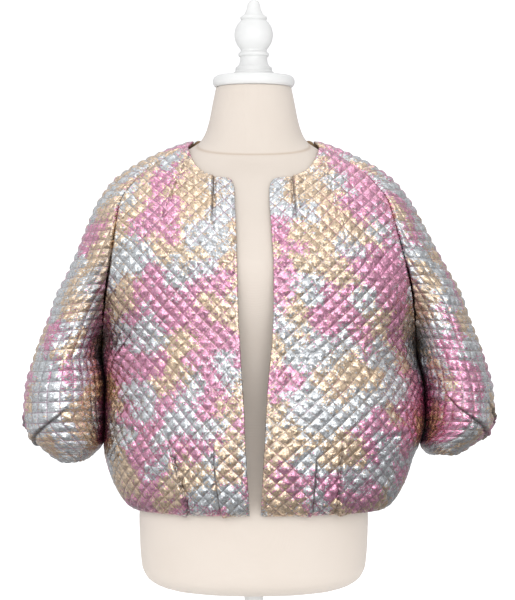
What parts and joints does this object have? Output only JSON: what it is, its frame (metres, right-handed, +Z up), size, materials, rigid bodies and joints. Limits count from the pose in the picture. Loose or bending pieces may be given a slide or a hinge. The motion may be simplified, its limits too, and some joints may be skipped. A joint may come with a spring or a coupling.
{
  "type": "cropped cocoon jacket on a limbless dress form",
  "caption": "Open, collarless cropped jacket in quilted metallic brocade, with full raglan sleeves, worn by a linen dress form on a round counter stand.",
  "frame": {"origin": "centre of the stand base's underside, on the surface that it stands on", "axes": "+Z up the pole, -Y out of the front of the jacket, +X to the wearer's left"},
  "size_m": [0.708, 0.3129, 1.0856],
  "materials": {
    "brocade": "quilted metallic brocade in pink, gold and silver",
    "facing": "satin-backed woven facing",
    "linen": "fine plain linen",
    "white_paint": "satin white paint"
  },
  "bodies": {
    "root": {"front_left": "brocade", "front_right": "brocade", "back": "brocade", "sleeve_left": "brocade", "sleeve_right": "brocade", "back_neck_facing": "facing", "form": "linen", "neck_cap": "white_paint", "finial": "white_paint", "pole": "white_paint", "base": "white_paint"}
  },
  "joints": []
}
